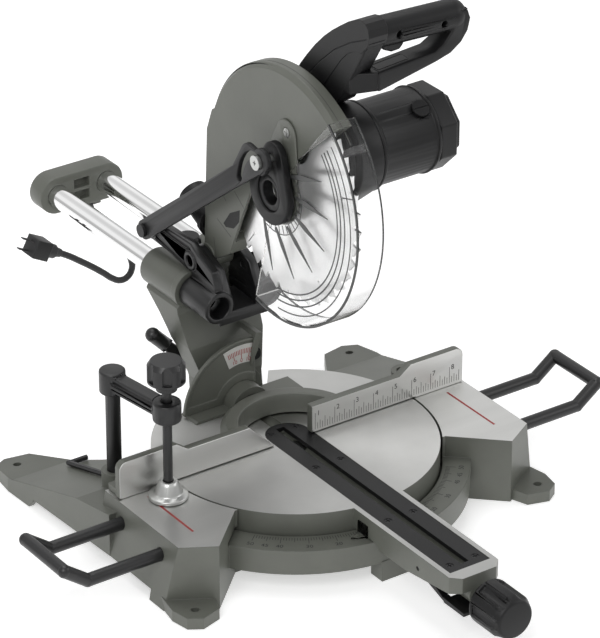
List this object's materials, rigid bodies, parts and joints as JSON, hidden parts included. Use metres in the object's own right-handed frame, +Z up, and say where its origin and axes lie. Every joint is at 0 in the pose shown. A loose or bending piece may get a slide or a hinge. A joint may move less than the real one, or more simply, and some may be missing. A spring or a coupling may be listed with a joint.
{
  "type": "sliding compound mitre saw",
  "caption": "Bench sliding mitre saw: drop-down guarded blade head on twin slide rails, tilting post, turning table with scale, split fence, work clamp and extension bails.",
  "frame": {"origin": "middle of the four bench bolt holes, on the bench", "axes": "+Z up from the bench, -Y towards the operator, +X to the operator's right"},
  "size_m": [0.6964, 0.833, 0.59],
  "materials": {
    "casting_grey": "grey hammered enamel over cast aluminium",
    "casting_bare": "machined, matt",
    "black_plastic": "fine grain",
    "black_metal": "black oxide and black paint",
    "black_casting": "black enamel over cast aluminium",
    "steel": "turned",
    "blade_steel": "ground",
    "chrome": "ground and plated",
    "clear_plastic": "clear moulded plastic, slightly smoky",
    "rubber": "matt",
    "bushing": "sintered, dark"
  },
  "bodies": {
    "base": {"base_casting": "casting_grey", "pivot_bolt": "steel", "fence": "casting_bare", "fence_bolts": "black_metal", "hex_wrench": "black_metal", "bail_thumb_screws": "steel"},
    "left_bail": {"left_bail": "black_metal"},
    "right_bail": {"right_bail": "black_metal"},
    "clamp_frame": {"clamp_post": "black_metal"},
    "clamp_foot": {"clamp_foot": "black_metal"},
    "clamp_screw": {"clamp_screw": "black_plastic"},
    "turntable": {"turntable": "casting_bare", "kerf_board": "black_plastic", "kerf_screws": "steel", "mitre_pointer": "clear_plastic", "bevel_dial": "casting_grey", "bevel_bolt": "steel"},
    "mitre_lock_knob": {"mitre_lock_knob": "black_plastic"},
    "mitre_detent_lever": {"mitre_detent_lever": "black_metal"},
    "bevel": {"bevel_post": "casting_grey", "rail_bushings": "bushing", "bevel_pointer": "clear_plastic"},
    "bevel_lock_lever": {"bevel_lock_lever": "black_metal"},
    "bevel_stop_knob": {"bevel_stop_knob": "black_plastic"},
    "slide_lock_knob": {"slide_lock_knob": "black_plastic"},
    "carriage": {"left_rail": "chrome", "right_rail": "chrome", "rail_end_cap": "casting_grey", "carriage": "black_casting", "chop_pin": "steel", "link_pivot_screw": "steel", "cord_gland": "rubber", "cord": "rubber", "plug": "rubber"},
    "head_lock_pin": {"head_lock_pin": "black_plastic"},
    "guard_link": {"guard_link": "black_metal"},
    "head": {"upper_guard": "casting_grey", "guard_cover": "casting_grey", "cover_screw": "steel", "dust_port": "black_plastic", "belt_case": "black_plastic", "belt_case_screws": "steel", "motor_housing": "black_plastic", "motor_end_cap": "black_plastic", "brush_caps": "black_plastic", "handle_arm": "black_plastic", "handle_grip": "black_plastic", "drive_belt": "rubber", "arbor_bearings": "steel"},
    "trigger": {"trigger": "black_plastic"},
    "spindle_lock_button": {"spindle_lock_button": "black_plastic"},
    "lower_guard": {"lower_guard": "clear_plastic", "guard_hub": "black_metal", "guard_pin": "steel"},
    "arbor": {"blade": "blade_steel", "arbor_shaft": "steel", "outer_flange": "steel", "arbor_pulley": "steel"},
    "motor_rotor": {"motor_shaft": "steel"}
  },
  "joints": [
    {"name": "mitre_turn", "type": "hinge", "parent": "base", "child": "turntable", "pos_m": [0, -0.0365, 0.075], "axis": [0, 0, 1], "range_deg": [-45, 45]},
    {"name": "mitre_lock", "type": "hinge", "parent": "turntable", "child": "mitre_lock_knob", "pos_m": [0, -0.3975, 0.05], "axis": [0, -1, 0], "range_deg": [0, 540]},
    {"name": "mitre_detent", "type": "hinge", "parent": "turntable", "child": "mitre_detent_lever", "pos_m": [0, -0.2985, 0.0586], "axis": [1, 0, 0], "range_deg": [0, 10], "stiffness_Nm_per_rad": 1, "springref_deg": -11.46},
    {"name": "bevel_tilt", "type": "hinge", "parent": "turntable", "child": "bevel", "pos_m": [0, 0.0785, 0.075], "axis": [0, 1, 0], "range_deg": [-36, 0]},
    {"name": "bevel_lock", "type": "hinge", "parent": "bevel", "child": "bevel_lock_lever", "pos_m": [0, 0.1235, 0.075], "axis": [0, 1, 0], "range_deg": [-40, 0]},
    {"name": "bevel_stop_pull", "type": "slide", "parent": "bevel", "child": "bevel_stop_knob", "axis": [0, -1, 0], "range_m": [0, 0.006], "stiffness_N_per_m": 400, "springref_m": -0.004},
    {"name": "slide_lock", "type": "hinge", "parent": "bevel", "child": "slide_lock_knob", "pos_m": [0, 0.1675, 0.22], "axis": [0, 0, 1], "range_deg": [0, 360]},
    {"name": "head_slide", "type": "slide", "parent": "bevel", "child": "carriage", "axis": [0, -1, 0], "range_m": [0, 0.195]},
    {"name": "head_lock_pull", "type": "slide", "parent": "carriage", "child": "head_lock_pin", "axis": [1, 0, 0], "range_m": [0, 0.008]},
    {"name": "head_chop", "type": "hinge", "parent": "carriage", "child": "head", "pos_m": [0, 0.1115, 0.236], "axis": [1, 0, 0], "range_deg": [0, 56], "stiffness_Nm_per_rad": 16, "springref_deg": -103.13},
    {"name": "guard_open", "type": "hinge", "parent": "head", "child": "lower_guard", "pos_m": [0, -0.0245, 0.37], "axis": [1, 0, 0], "range_deg": [-108, 0]},
    {"name": "guard_link_swing", "type": "hinge", "parent": "carriage", "child": "guard_link", "pos_m": [-0.04, 0.1905, 0.242], "axis": [1, 0, 0], "range_deg": [0, 40.5]},
    {"name": "arbor_spin", "type": "hinge", "parent": "head", "child": "arbor", "pos_m": [0, -0.0245, 0.37], "axis": [1, 0, 0], "continuous": true},
    {"name": "motor_spin", "type": "hinge", "parent": "head", "child": "motor_rotor", "pos_m": [0.09, -0.0845, 0.428], "axis": [1, 0, 0], "continuous": true},
    {"name": "trigger_pull", "type": "hinge", "parent": "head", "child": "trigger", "pos_m": [0.052, -0.1115, 0.557], "axis": [0, -1, 0], "range_deg": [0, 9], "stiffness_Nm_per_rad": 0.4, "springref_deg": -14.32},
    {"name": "spindle_lock_press", "type": "slide", "parent": "head", "child": "spindle_lock_button", "axis": [-1, 0, 0], "range_m": [0, 0.003], "stiffness_N_per_m": 400, "springref_m": -0.003},
    {"name": "left_bail_pull", "type": "slide", "parent": "base", "child": "left_bail", "axis": [-1, 0, 0], "range_m": [0, 0.035]},
    {"name": "right_bail_pull", "type": "slide", "parent": "base", "child": "right_bail", "axis": [1, 0, 0], "range_m": [0, 0.035]},
    {"name": "clamp_swing", "type": "hinge", "parent": "base", "child": "clamp_frame", "pos_m": [-0.188, 0.0265, 0.178], "axis": [0, 0, 1], "range_deg": [-18, 3]},
    {"name": "clamp_press", "type": "slide", "parent": "clamp_frame", "child": "clamp_foot", "axis": [0, 0, 1], "range_m": [0, 0.04]},
    {"name": "clamp_turn", "type": "hinge", "parent": "clamp_foot", "child": "clamp_screw", "pos_m": [-0.17596, -0.05916, 0.2], "axis": [0, 0, 1], "range_deg": [0, 2880]}
  ],
  "couplings": [
    {"joint": "guard_open", "follows": "head_chop", "ratio": -1.92},
    {"joint": "guard_link_swing", "follows": "head_chop", "ratio": 0.721},
    {"joint": "motor_spin", "follows": "arbor_spin", "ratio": 2.5},
    {"joint": "clamp_turn", "follows": "clamp_press", "rad_per_m": 1256.6}
  ]
}
